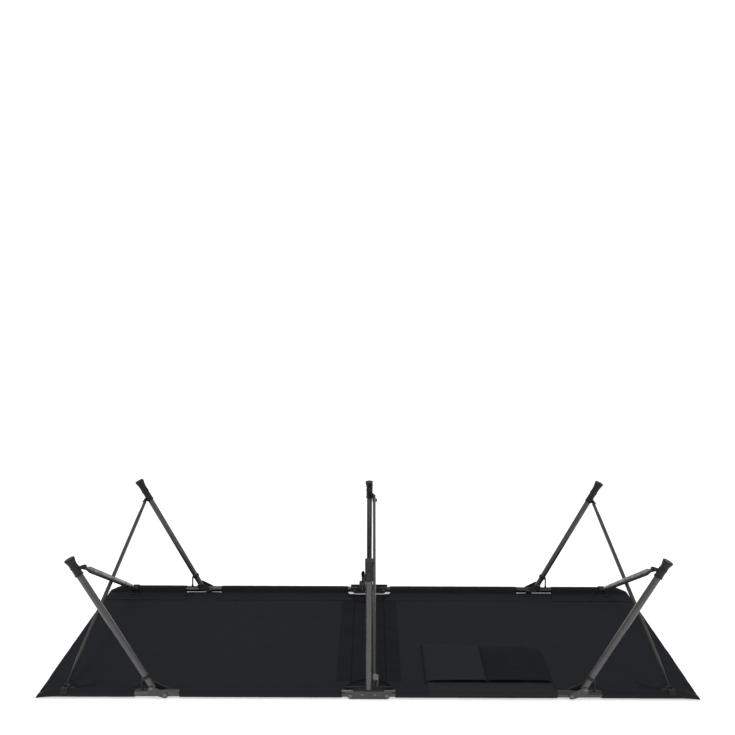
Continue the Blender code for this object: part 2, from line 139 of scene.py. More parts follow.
def grid(rows, cols, close_rows=False, close_cols=False):
    """Corner numbers of a grid's faces, where point (i, j) has number i * cols + j."""
    i = np.arange(rows if close_rows else rows - 1)
    j = np.arange(cols if close_cols else cols - 1)
    i, j = (a.ravel() for a in np.meshgrid(i, j, indexing="ij"))
    up, on = (i + 1) % rows, (j + 1) % cols
    faces = np.stack([i * cols + j, i * cols + on, up * cols + on, up * cols + j], 1)
    return faces.tolist()


def capped(points, close_rows):
    """Shell of rings of points: faces round each ring, and a face over each end unless closed."""
    rows, cols = points.shape[:2]
    faces = grid(rows, cols, close_rows, True)
    if not close_rows:
        faces.append(list(range(cols))[::-1])
        faces.append(list(range((rows - 1) * cols, rows * cols)))
    return points.reshape(-1, 3), faces


def turned(outline, base, way, sides=40, hollow=False):
    """Points base + way * d + radius * (u cos a + v sin a) for each (d, radius) of outline."""
    outline = np.array(outline, float)
    way = unit(way)
    u, v = square_to(way)
    a = np.linspace(0, 2 * math.pi, sides, endpoint=False)
    spokes = np.outer(np.cos(a), u) + np.outer(np.sin(a), v)
    axis = np.asarray(base, float) + outline[:, :1] * way
    points = axis[:, None, :] + outline[:, 1][:, None, None] * spokes[None]
    return capped(points, hollow)


def run_of(start, end):
    """Both ends of a run as arrays, and its length."""
    start, end = np.asarray(start, float), np.asarray(end, float)
    return start, end, np.linalg.norm(end - start)


def pipe(start, end, radius, wall=WALL, sides=40):
    """A tube with eased lips: its wall's section turned about the line from start to end."""
    start, end, length = run_of(start, end)
    lip = 0.0004
    outline = [
        (0, radius - lip), (lip, radius), (length - lip, radius), (length, radius - lip),
        (length, radius - wall), (0, radius - wall),
    ]
    return turned(outline, start, end - start, sides, hollow=True)


def bar(start, end, radius, ease=0.0004, sides=24):
    """A round bar with eased ends."""
    start, end, length = run_of(start, end)
    outline = [(0, radius - ease), (ease, radius), (length - ease, radius), (length, radius - ease)]
    return turned(outline, start, end - start, sides)


def ovals(rows, start, way, thick, sides=32):
    """Elliptical rings: start + way * d + wide * w cos a + thick * t sin a for each (d, w, t)."""
    rows = np.array(rows, float)
    way = unit(way)
    thick = unit(np.asarray(thick, float) - way * np.dot(thick, way))
    wide = np.cross(way, thick)
    a = np.linspace(0, 2 * math.pi, sides, endpoint=False)
    axis = np.asarray(start, float) + rows[:, :1] * way
    points = (
        axis[:, None, :]
        + (rows[:, 1][:, None] * np.cos(a)[None])[..., None] * wide
        + (rows[:, 2][:, None] * np.sin(a)[None])[..., None] * thick
    )
    return capped(points, False)


def rounded(corners, radius, steps=6):
    """Each corner c becomes (1-t)^2 a + 2t(1-t) c + t^2 b, where a and b lie radius from c."""
    c = np.array(corners, float)
    back, on = np.roll(c, 1, 0) - c, np.roll(c, -1, 0) - c
    far_back = np.linalg.norm(back, axis=1, keepdims=True)
    far_on = np.linalg.norm(on, axis=1, keepdims=True)
    radius = np.broadcast_to(np.asarray(radius, float), len(c))[:, None]
    a = c + back / far_back * np.minimum(radius, far_back * 0.45)
    b = c + on / far_on * np.minimum(radius, far_on * 0.45)
    t = np.linspace(0, 1, steps)[None, :, None]
    curve = (1 - t) ** 2 * a[:, None] + 2 * t * (1 - t) * c[:, None] + t**2 * b[:, None]
    return curve.reshape(-1, 2)


def slab(outline, origin, u, v, thickness, ease=0.0004):
    """A plate: its outline in the plane of u and v, set in by ease at both faces, along u x v."""
    outline = np.array(outline, float)
    on = np.roll(outline, -1, 0) - np.roll(outline, 1, 0)
    x, y = outline.T
    turn = np.sum(x * np.roll(y, -1) - y * np.roll(x, -1))
    inward = np.stack([-on[:, 1], on[:, 0]], 1) * np.sign(turn)
    inward /= np.linalg.norm(inward, axis=1, keepdims=True)
    w = np.cross(u, v)
    rings = []
    for depth, inset in ((0, ease), (ease, 0), (thickness - ease, 0), (thickness, ease)):
        flat = outline + inward * inset
        rings.append(np.asarray(origin) + flat[:, :1] * u + flat[:, 1:] * v + w * depth)
    return capped(np.array(rings), False)


def link(first, second, radius_first, radius_second, steps=14):
    """Outline round two circles in their own plane: half of each circle on its outer side."""
    first, second = np.asarray(first, float), np.asarray(second, float)
    way = (second - first) / np.linalg.norm(second - first)
    side = np.array([-way[1], way[0]])
    a = np.linspace(-math.pi / 2, math.pi / 2, steps)[:, None]
    end = second + radius_second * (way * np.cos(a) + side * np.sin(a))
    start = first - radius_first * (way * np.cos(a) + side * np.sin(a))
    return np.concatenate([end, start])


def cloth_grid(points):
    """One layer of cloth over a grid of points."""
    rows, cols = points.shape[:2]
    return points.reshape(-1, 3), grid(rows, cols)


def new_object(name, data):
    """An object in the scene that holds data."""
    made = bpy.data.objects.new(name, data)
    bpy.context.scene.collection.objects.link(made)
    return made


def put(name, shells, finish, body, stands_for=(), closed=True):
    """Joins shells of points and faces into the piece called name, riding on body."""
    points, faces, first = [], [], 0
    for shell_points, shell_faces in shells:
        points.append(np.asarray(shell_points, float))
        faces.extend([[n + first for n in face] for face in shell_faces])
        first += len(shell_points)
    mesh = bpy.data.meshes.new(name)
    mesh.from_pydata(np.concatenate(points).tolist(), [], faces)
    mesh.validate()
    if closed:
        work = bmesh.new()
        work.from_mesh(mesh)
        bmesh.ops.recalc_face_normals(work, faces=work.faces)
        work.to_mesh(mesh)
        work.free()
    mesh.shade_smooth()
    mesh.set_sharp_from_angle(angle=math.radians(38))
    mesh.materials.append(finish)
    made = new_object(name, mesh)
    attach(made, body)
    if stands_for:
        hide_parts(*stands_for)
    return made


def lay(name, shells, finish, body, thickness, stands_for=()):
    """Layers of cloth joined as put does, and given their thickness on the underside."""
    made = put(name, shells, finish, body, stands_for, closed=False)
    step = made.modifiers.new("cloth thickness", "SOLIDIFY")
    step.thickness = thickness
    step.offset = -1.0
    return made


# --- finishes ---


def add(tree, kind, **values):
    """A node of a kind with its settings, and its inputs by name."""
    made = tree.nodes.new(kind)
    for key, value in values.items():
        if hasattr(made, key):
            setattr(made, key, value)
        else:
            set_inputs(made, **{key: value})
    return made


def set_inputs(node, **values):
    """Sets inputs of a node, each named with _ for a space."""
    for key, value in values.items():
        node.inputs[key.replace("_", " ")].default_value = value


def sums(tree, operation, a, b=None):
    """A Math node on a and b, each a socket or a number."""
    made = add(tree, "ShaderNodeMath", operation=operation)
    for socket, value in zip(made.inputs, (a, b)):
        if isinstance(value, bpy.types.NodeSocket):
            tree.links.new(value, socket)
        elif value is not None:
            socket.default_value = value
    return made.outputs[0]


def spread(tree, value, low, high, to_low=0.0, to_high=1.0):
    """value from low..high taken smoothly to to_low..to_high."""
    made = add(tree, "ShaderNodeMapRange", interpolation_type="SMOOTHSTEP")
    tree.links.new(value, made.inputs["Value"])
    for key, number in (("From Min", low), ("From Max", high)):
        made.inputs[key].default_value = number
    for key, number in (("To Min", to_low), ("To Max", to_high)):
        made.inputs[key].default_value = number
    return made.outputs["Result"]


def group(name, inputs, outputs):
    """An empty shader group with named sockets, and its own input and output nodes."""
    tree = bpy.data.node_groups.new(name, "ShaderNodeTree")
    for label, kind, value in inputs:
        socket = tree.interface.new_socket(label, in_out="INPUT", socket_type=kind)
        if value is not None:
            socket.default_value = value
    for label, kind in outputs:
        tree.interface.new_socket(label, in_out="OUTPUT", socket_type=kind)
    return tree, tree.nodes.new("NodeGroupInput"), tree.nodes.new("NodeGroupOutput")


def noise(tree, place, scale, detail=3.0, rough=0.55):
    """A noise's value at place."""
    made = add(tree, "ShaderNodeTexNoise", Scale=scale, Detail=detail, Roughness=rough)
    tree.links.new(place, made.inputs["Vector"])
    return made.outputs["Fac"]


def weave_group():
    """Plain weave: Threads is the product of two sines, one along each thread's run."""
    tree, start, end = group(
        "plain weave",
        [("Place", "NodeSocketVector", None), ("Pitch", "NodeSocketFloat", 0.0012)],
        [("Threads", "NodeSocketFloat"), ("Slub", "NodeSocketFloat")],
    )
    parts = add(tree, "ShaderNodeSeparateXYZ")
    tree.links.new(start.outputs["Place"], parts.inputs[0])
    rate = sums(tree, "DIVIDE", math.pi, start.outputs["Pitch"])
    waves = []
    for axis in (0, 1):
        lean = sums(tree, "ADD", parts.outputs[axis], parts.outputs[2])
        waves.append(sums(tree, "SINE", sums(tree, "MULTIPLY", lean, rate)))
    product = sums(tree, "MULTIPLY", waves[0], waves[1])
    threads = sums(tree, "MULTIPLY_ADD", product, 0.5)
    threads.node.inputs[2].default_value = 0.5
    tree.links.new(threads, end.inputs["Threads"])
    stretch = add(tree, "ShaderNodeMapping", Scale=(30.0, 900.0, 300.0))
    tree.links.new(start.outputs["Place"], stretch.inputs["Vector"])
    tree.links.new(noise(tree, stretch.outputs["Vector"], 1.0, 2.0), end.inputs["Slub"])
    return tree


def wear_group():
    """Wear: Edge is high on outer edges, broken up by noise. Dust is soft uneven cloud."""
    tree, start, end = group(
        "wear",
        [("Place", "NodeSocketVector", None), ("Grain", "NodeSocketFloat", 60.0)],
        [("Edge", "NodeSocketFloat"), ("Dust", "NodeSocketFloat"), ("Fine", "NodeSocketFloat")],
    )
    shape = add(tree, "ShaderNodeNewGeometry")
    edge = spread(tree, shape.outputs["Pointiness"], 0.53, 0.62)
    broken = add(tree, "ShaderNodeTexNoise", Detail=4.0, Roughness=0.6)
    tree.links.new(start.outputs["Place"], broken.inputs["Vector"])
    tree.links.new(start.outputs["Grain"], broken.inputs["Scale"])
    rubbed = sums(tree, "MULTIPLY", edge, spread(tree, broken.outputs["Fac"], 0.42, 0.62))
    tree.links.new(rubbed, end.inputs["Edge"])
    cloud = noise(tree, start.outputs["Place"], 14.0, 4.0, 0.6)
    tree.links.new(spread(tree, cloud, 0.38, 0.72), end.inputs["Dust"])
    tree.links.new(noise(tree, start.outputs["Place"], 1800.0, 2.0), end.inputs["Fine"])
    return tree


WEAVE = weave_group()
WEAR = wear_group()


def blank(name, roughness, metallic=0.0, coat=0.0, specular=0.5):
    """A material with its tree, shader and Object coordinates, constants set on the shader."""
    made = bpy.data.materials.new(name)
    made.use_nodes = True
    tree = made.node_tree
    shader = tree.nodes["Principled BSDF"]
    set_inputs(shader, Roughness=roughness, Metallic=metallic, Specular_IOR_Level=specular)
    set_inputs(shader, Coat_Weight=coat, Coat_Roughness=0.25)
    place = tree.nodes.new("ShaderNodeTexCoord").outputs["Object"]
    return made, tree, shader, place


def tone(colour, share, lift=0.0):
    """The colour with each channel c taken to c * share + lift."""
    return tuple(c * share + lift for c in colour)


def wear_at(tree, place, grain=60.0):
    """Outputs of the wear group at place."""
    made = add(tree, "ShaderNodeGroup", node_tree=WEAR, Grain=grain)
    tree.links.new(place, made.inputs["Place"])
    return made.outputs


def blended(tree, share, low, high):
    """The colour low at share 0 and high at share 1; each a colour or a socket."""
    mix = add(tree, "ShaderNodeMix", data_type="RGBA")
    tree.links.new(share, mix.inputs["Factor"])
    for socket, value in ((mix.inputs[6], low), (mix.inputs[7], high)):
        if isinstance(value, bpy.types.NodeSocket):
            tree.links.new(value, socket)
        else:
            socket.default_value = (*value, 1.0)
    return mix.outputs[2]


def bumped(tree, shader, height, distance, strength=0.5):
    """Feeds a height through a Bump node to the shader's normal."""
    bump = add(tree, "ShaderNodeBump", Strength=strength, Distance=distance)
    tree.links.new(height, bump.inputs["Height"])
    tree.links.new(bump.outputs["Normal"], shader.inputs["Normal"])


def cloth_finish(name, colour, band=None):
    """Woven cloth: threads and slubs lighten it, and the band round the middle is darker."""
    made, tree, shader, place = blank(name, 0.86, specular=0.12)
    weave = add(tree, "ShaderNodeGroup", node_tree=WEAVE, Pitch=0.0011)
    tree.links.new(place, weave.inputs["Place"])
    wear = wear_at(tree, place)
    light = tone(colour, 1.35)
    mixed = sums(tree, "MULTIPLY", weave.outputs["Threads"], weave.outputs["Slub"])
    base = blended(tree, mixed, tone(colour, 0.80), light)
    base = blended(tree, sums(tree, "MULTIPLY", wear["Dust"], 0.35), base, light)
    if band:
        parts = add(tree, "ShaderNodeSeparateXYZ")
        tree.links.new(place, parts.inputs[0])
        away = sums(tree, "ABSOLUTE", parts.outputs[0])
        beyond = spread(tree, away, band - 0.002, band + 0.002)
        base = blended(tree, beyond, tone(colour, 0.62), base)
    tree.links.new(base, shader.inputs["Base Color"])
    rough = spread(tree, wear["Dust"], 0.0, 1.0, 0.80, 0.92)
    tree.links.new(rough, shader.inputs["Roughness"])
    height = sums(tree, "ADD", weave.outputs["Threads"], weave.outputs["Slub"])
    bumped(tree, shader, height, 0.0003, 0.45)
    return made


def hard_finish(name, colour, worn, roughness, metallic=0.0, coat=0.0, grain=60.0, bump=0.00004):
    """Paint, plastic or metal: rubbed lighter at its edges, cloudy with dust, finely grained."""
    made, tree, shader, place = blank(name, roughness, metallic, coat=coat, specular=0.3)
    wear = wear_at(tree, place, grain)
    pale = tone(colour, 1.5, 0.004)
    base = blended(tree, sums(tree, "MULTIPLY", wear["Dust"], 0.25), colour, pale)
    base = blended(tree, sums(tree, "MULTIPLY", wear["Edge"], 0.6), base, worn)
    tree.links.new(base, shader.inputs["Base Color"])
    rough = spread(tree, wear["Dust"], 0.0, 1.0, roughness - 0.05, roughness + 0.10)
    tree.links.new(rough, shader.inputs["Roughness"])
    bumped(tree, shader, wear["Fine"], bump, 0.4)
    return made


def brushed_finish(name, colour, roughness):
    """Bare drawn metal: fine streaks along X over a cloudy tone."""
    made, tree, shader, place = blank(name, roughness, 1.0)
    stretch = add(tree, "ShaderNodeMapping", Scale=(12.0, 900.0, 900.0))
    tree.links.new(place, stretch.inputs["Vector"])
    streak = noise(tree, stretch.outputs["Vector"], 1.0, 3.0)
    wear = wear_at(tree, place)
    dark = tone(colour, 0.70)
    base = blended(tree, spread(tree, streak, 0.3, 0.7), dark, colour)
    base = blended(tree, sums(tree, "MULTIPLY", wear["Dust"], 0.4), base, dark)
    tree.links.new(base, shader.inputs["Base Color"])
    rough = spread(tree, streak, 0.2, 0.8, roughness - 0.06, roughness + 0.10)
    tree.links.new(rough, shader.inputs["Roughness"])
    bumped(tree, shader, streak, 0.00003, 0.3)
    return made


CLOTH = cloth_finish("cot cloth", (0.0132, 0.0150, 0.0190), band=0.097)
FLAP_CLOTH = cloth_finish("hem cloth", (0.0132, 0.0148, 0.0185))
POCKET_CLOTH = cloth_finish("pocket cloth", (0.0160, 0.0172, 0.0212))
POCKET_DARK = cloth_finish("pocket dark cloth", (0.0076, 0.0088, 0.0114))
POCKET_BAND = cloth_finish("pocket band cloth", (0.0195, 0.0212, 0.0236))
THREAD = hard_finish("thread", (0.010, 0.010, 0.011), (0.03, 0.03, 0.03), 0.7)
LEG_PAINT = hard_finish("leg paint", (0.073, 0.0725, 0.072), (0.10, 0.098, 0.095), 0.27, 0.60, 0.15)
BRACE_PAINT = hard_finish("brace paint", (0.050, 0.050, 0.048), (0.09, 0.088, 0.085), 0.42, 0.30)
RAIL_METAL = brushed_finish("rail metal", (0.085, 0.085, 0.085), 0.22)
BARE = (0.16, 0.155, 0.145)
PLATE_PAINT = hard_finish("plate paint", (0.048, 0.047, 0.044), BARE, 0.40, 0.45, grain=90)
STEEL = brushed_finish("rivet steel", (0.15, 0.15, 0.15), 0.33)
BLACK = (0.0065, 0.0065, 0.0070)
BLACK_PLASTIC = hard_finish("black plastic", BLACK, (0.03, 0.03, 0.03), 0.46, bump=0.00008)
GREY = (0.16, 0.16, 0.155)
GREY_PLASTIC = hard_finish("grey plastic", GREY, (0.30, 0.30, 0.29), 0.48, bump=0.00008)


# --- rails, legs and braces ---


def rivet_shell(place, half, head=0.0056, pin=0.0030):
    """A rivet along Y: domed heads at both ends of a pin, turned about the pin's line."""
    dome = np.linspace(0, math.pi / 2, 6)
    high = [(half + 0.0016 * math.sin(a), head * math.cos(a) + 0.0004) for a in dome]
    outline = [(-d, r) for d, r in high[::-1]] + [(-half, pin), (half, pin)] + high
    return turned(outline, place, Y, 28)


def make_rails():
    """Rail halves of bare tube with their end plugs and the pins of the middle hinge."""
    for row, facts in ROWS.items():
        y = facts["side"] * HALF_SPAN
        for half, end in HALVES.items():
            name = f"{row}_{half}"
            inner = np.array([end * RAIL_ENDS[0], y, RAIL_HEIGHT])
            outer = np.array([end * RAIL_ENDS[1], y, RAIL_HEIGHT])
            rail = [pipe(inner, outer, RAIL_RADIUS, sides=48)]
            put(name + "_rail_tube", rail, RAIL_METAL, name + "_side", [name + "_rail"])
            bore = RAIL_RADIUS - WALL - 0.0003
            plug = [
                (-0.018, bore * 0.94), (-0.016, bore), (0.0003, bore), (0.0003, 0.0099),
                (0.0010, 0.0103), (0.0040, 0.0102), (0.0054, 0.0092), (0.0060, 0.0070),
            ]
            plug_shell = [turned(plug, outer, X * end, 40)]
            node = name + "_rail_plug"
            put(name + "_end_cap", plug_shell, BLACK_PLASTIC, name + "_side", [node])
            pin = np.array([end * PIN_X, y, RAIL_HEIGHT])
            shells = [rivet_shell(pin, 0.0132)]
            node = name + "_hinge_pin"
            put(name + "_plate_rivet", shells, STEEL, row + "_middle", [node])


class EndLeg:
    """Places of one end leg, worked out as the frame's source does."""

    def __init__(self, half, row):
        facts = ROWS[row]
        end, side = HALVES[half], facts["side"]
        self.name, self.end, self.side = f"{row}_{half}", end, side
        self.up = np.array([end * math.sin(LEG_LEAN), 0, math.cos(LEG_LEAN)])
        self.inner = np.array([-end * math.cos(LEG_LEAN), 0, math.sin(LEG_LEAN)])
        self.across = -side * Y
        self.pivot = np.array([end * PIVOT_X, side * HALF_SPAN, RAIL_HEIGHT])
        self.base = self.pivot - self.inner * LEG_OFFSET
        stand = self.across * math.cos(BRACE_SIDE_ANGLE)
        stand = stand + self.inner * facts["inner"] * math.sin(BRACE_SIDE_ANGLE)
        self.joint = self.at(facts["along"]) + stand * BRACE_STANDOFF
        clip_y = -side * (HALF_SPAN - CLIP_INBOARD)
        self.clip = np.array([end * facts["clip_x"], clip_y, RAIL_HEIGHT + CLIP_ABOVE])
        along, inward, across = SWING_MIDDLE
        self.swing = unit(self.up * along + self.inner * inward + self.across * across)

    def at(self, distance):
        """The point that far up the leg's axis."""
        return self.base + self.up * distance


def boot_shell(start, way, length, bore_depth):
    """A boot turned about its leg: two moulded beads, a waist and a flared foot, bored blind."""
    outside = [
        (0.0000, 0.0099), (0.0000, 0.0117), (0.0006, 0.0122), (0.0034, 0.0123), (0.0042, 0.0112),
        (length * 0.40, 0.0110), (length * 0.44, 0.0120), (length * 0.50, 0.0121),
        (length * 0.54, 0.0112), (length * 0.66, 0.0113), (length * 0.76, 0.0120),
        (length * 0.85, 0.0134), (length * 0.92, 0.0146), (length * 0.975, 0.0148),
        (length * 0.995, 0.0142), (length, 0.0132), (length - 0.0010, 0.0118),
        (length - 0.0012, 0.0040),
    ]
    inside = [(bore_depth, 0.0020), (bore_depth, 0.0099)]
    return turned(inside + outside, start, way, 44)


def ball_cup(leg):
    """The cup on the boot's side: a bowl turned about the ball's axis, on a short neck."""
    back = -leg.swing
    rim = math.radians(60)
    inner = [(0.0066 * math.cos(a), 0.0066 * math.sin(a)) for a in np.linspace(0.14, rim, 7)]
    outer = [(0.0092 * math.cos(a), 0.0092 * math.sin(a)) for a in np.linspace(rim, 0.14, 7)]
    bowl = turned(inner + outer, leg.joint, back, 32, hollow=True)
    root = leg.base + leg.up * (np.dot(leg.joint - leg.base, leg.up) + 0.0075)
    end = leg.joint + back * 0.0080
    toward = unit(end - root)
    neck = turned([(0.0104, 0.0066), (0.0130, 0.0056), (0.0150, 0.0050)], root, toward, 28)
    neck_top = turned([(0.0145, 0.0050), (np.linalg.norm(end - root), 0.0048)], root, toward, 28)
    return [bowl, neck, neck_top]


def brace_shell(leg):
    """A cross brace: ball and neck, an oval run, and a flattened end with a round eye."""
    length = np.linalg.norm(leg.clip - leg.joint)
    thick = 0.0024
    rows = [
        (-0.0056, 0.0018, 0.0018), (-0.0050, 0.0033, 0.0033), (-0.0036, 0.0048, 0.0048),
        (-0.0016, 0.0058, 0.0058), (0.0006, 0.0060, 0.0060), (0.0040, 0.0054, 0.0054),
        (0.0080, 0.0051, 0.0051), (0.0300, 0.0056, 0.0052), (0.0400, 0.0072, 0.0050),
        (0.0560, BRACE_HALF_WIDTH, BRACE_HALF_DEPTH),
        (length - 0.075, BRACE_HALF_WIDTH, BRACE_HALF_DEPTH), (length - 0.058, 0.0092, 0.0041),
        (length - 0.044, 0.0086, thick + 0.0002), (length - 0.026, 0.0066, thick * 0.8),
        (length - 0.010, 0.0058, thick * 0.7), (length + 0.002, 0.0056, thick * 0.7),
        (length + 0.0046, 0.0036, thick * 0.7), (length + 0.0056, 0.0012, thick * 0.6),
    ]
    return ovals(rows, leg.joint, leg.clip - leg.joint, X, 36)


def bracket_shells(leg):
    """Oval cheeks on both sides of rail and leg, and the web that joins them behind the leg."""
    reach = leg.at(0.028)
    flat = [(p[0], p[2]) for p in (leg.pivot, reach)]
    outline = link(flat[0], flat[1], 0.0100, 0.0130)
    shells = []
    for start in (-CHEEK_INSIDE - CHEEK_THICKNESS, CHEEK_INSIDE):
        origin = Y * (leg.pivot[1] + start)
        shells.append(slab(outline, origin + Y * CHEEK_THICKNESS, X, Z, CHEEK_THICKNESS, 0.0005))
    wall = np.array([(-0.0117, 0.0306), (-0.0117, 0.0344), (-0.0099, 0.0344), (-0.0099, 0.0306)])
    half = CHEEK_INSIDE + CHEEK_THICKNESS - 0.0005
    origin = leg.base - np.cross(leg.inner, leg.up) * half
    shells.append(slab(wall, origin, leg.inner, leg.up, 2 * half, 0.0002))
    return shells


def clip_shells(leg):
    """A saddle over the hem, and an ear outboard of the brace's eye to leave the brace room."""
    axis_y = -leg.side * HALF_SPAN
    inside, outside = 0.0130, 0.0152
    a = np.radians(np.linspace(-20, 158, 26))
    arc = np.stack([np.cos(a), np.sin(a)], 1)
    outline = np.concatenate([outside * arc, (inside * arc)[::-1]])
    outline = outline * [leg.side, 1.0] + [axis_y, RAIL_HEIGHT]
    shells = [slab(outline, X * (leg.clip[0] - 0.010), Y, Z, 0.020, 0.0005)]
    corners = [(-0.0065, -0.0090), (0.0065, -0.0090), (0.0060, 0.0052), (-0.0060, 0.0052)]
    ear = rounded(corners, 0.0045, 7)
    ear = ear * [leg.side, 1.0] + [leg.clip[1], leg.clip[2]]
    ear_low = min(leg.end * 0.0036, leg.end * 0.0066)
    shells.append(slab(ear, X * (leg.clip[0] + ear_low), Y, Z, 0.0030, 0.0004))
    pad = rounded([(-0.017, -0.013), (0.017, -0.013), (0.017, 0.010), (-0.017, 0.010)], 0.010, 9)
    pad_height = 0.0052
    origin = np.array([leg.clip[0], leg.clip[1] + leg.side * 0.006, pad_height])
    shells.append(slab(pad * [1.0, leg.side], origin, X, Y, 0.0034, 0.0010))
    return shells


def make_end_legs():
    """Every end leg with its bracket, rivet, stay, boot and cross brace, and the brace's clip."""
    for row in ROWS:
        for half in HALVES:
            leg = EndLeg(half, row)
            name, set_body = leg.name, leg.name + "_leg_set"
            shells = [pipe(leg.at(LEG_SPAN[0]), leg.at(LEG_SPAN[1]), LEG_RADIUS)]
            put(name + "_leg_tube", shells, LEG_PAINT, set_body, [name + "_leg"])
            node = name + "_leg_bracket"
            put(name + "_bracket", bracket_shells(leg), PLATE_PAINT, set_body, [node])
            shells = [rivet_shell(leg.pivot, 0.0133)]
            shells.append(rivet_shell(leg.at(0.0355), 0.0133, 0.0050, 0.0026))
            put(name + "_rivets", shells, STEEL, set_body, [name + "_leg_rivet"])
            centre = leg.at(0.070)
            collar = [
                (-0.0040, 0.0098), (-0.0040, 0.0116), (-0.0034, 0.0121), (0.0034, 0.0121),
                (0.0040, 0.0116), (0.0040, 0.0098),
            ]
            top = centre - leg.inner * 0.0128
            foot = np.array([top[0] + leg.end * 0.003, top[1], RAIL_HEIGHT + RAIL_RADIUS + 0.0011])
            rise = np.linalg.norm(top - foot)
            profile = [(0, 0.0034), (0.003, 0.0036), (0.008, 0.0026), (rise, 0.0026)]
            post = turned(profile, foot, top - foot, 24)
            shells = [turned(collar, centre, leg.up, 40, hollow=True), post]
            put(name + "_stay", shells, BLACK_PLASTIC, set_body, [name + "_leg_stay"])
            boot_start = BOOT_SPAN[0] + (NEAR_BOOT_LATER if row == "near" else 0.0)
            length = BOOT_SPAN[1] - boot_start
            depth = LEG_SPAN[1] - boot_start + 0.0003
            shells = [boot_shell(leg.at(boot_start), leg.up, length, depth)]
            shells += ball_cup(leg)
            put(name + "_foot_boot", shells, BLACK_PLASTIC, set_body, [name + "_boot"])
            body = name + "_cross_brace"
            shells = [brace_shell(leg)]
            put(name + "_brace_bar", shells, BRACE_PAINT, body, [name + "_brace"])
            rail_body = f"{'far' if leg.side < 0 else 'near'}_{half}_side"
            node = name + "_brace_clip"
            shells = clip_shells(leg)
            put(name + "_clip_saddle", shells, BLACK_PLASTIC, rail_body, [node])
            shells = [bar(leg.clip - X * 0.0080, leg.clip + X * 0.0080, 0.0024)]
            put(name + "_clip_pin", shells, STEEL, rail_body)


# --- middle set ---


def mid_hinge(side):
    """Axis point of the upright brace's hinge on the rail at side."""
    return np.array([-side * MID_BRACE_X, side * (HALF_SPAN - MID_HINGE[0]), MID_HINGE[1]])


def make_plates():
    """Hinge plates with rounded corners, their screw heads, and the brace's ear."""
    corners = [
        (-0.055, 0.0010), (0.055, 0.0010), (0.067, 0.0165), (0.067, 0.0265), (-0.067, 0.0265),
        (-0.067, 0.0165),
    ]
    outline = rounded(corners, [0.006, 0.006, 0.004, 0.003, 0.003, 0.004], 7)
    screw = [(0, 0.0042), (0.0006, 0.0042), (0.0011, 0.0030), (0.0012, 0.0008)]
    thick = 0.0020
    for row, facts in ROWS.items():
        side = facts["side"]
        for face, out in (("outer", 1), ("inner", -1)):
            near_face = side * (HALF_SPAN + out * 0.0108)
            far_face = near_face + side * out * thick
            shells = [slab(outline, Y * max(near_face, far_face), X, Z, thick, 0.0005)]
            if face == "inner":
                shells += ear_shells(side)
            node = f"{row}_{face}_hinge_plate"
            put(f"{row}_{face}_plate", shells, PLATE_PAINT, row + "_middle", [node])
            for end in (-1, 1):
                place = np.array([end * 0.018, far_face, 0.0165])
                head = turned(screw, place, Y * side * out, 24)
                name = f"{row}_{face}_screw_{'left' if end < 0 else 'right'}"
                put(name, [head], STEEL, row + "_middle")


def ear_shells(side):
    """The ear beside the upright brace and the stub pin along X."""
    hinge = mid_hinge(side)
    way = -side
    near_face = hinge[0] + way * (BRACE_HALF_DEPTH + 0.0008)
    y_plate = side * (HALF_SPAN - 0.0118)
    corners = [
        (y_plate, hinge[2] - 0.009), (hinge[1] - side * 0.006, hinge[2] - 0.009),
        (hinge[1] - side * 0.009, hinge[2]), (hinge[1] - side * 0.005, hinge[2] + 0.008),
        (y_plate, hinge[2] + 0.0035),
    ]
    low = min(near_face, near_face + way * 0.0030)
    outline = rounded(corners, [0.0004, 0.004, 0.005, 0.004, 0.0004], 6)
    ear = slab(outline, X * low, Y, Z, 0.0030, 0.0004)
    start = np.array([hinge[0] - way * (BRACE_HALF_DEPTH + 0.0012), hinge[1], hinge[2]])
    end = np.array([near_face + way * 0.0068, hinge[1], hinge[2]])
    return [ear, bar(start, end, 0.0030)]


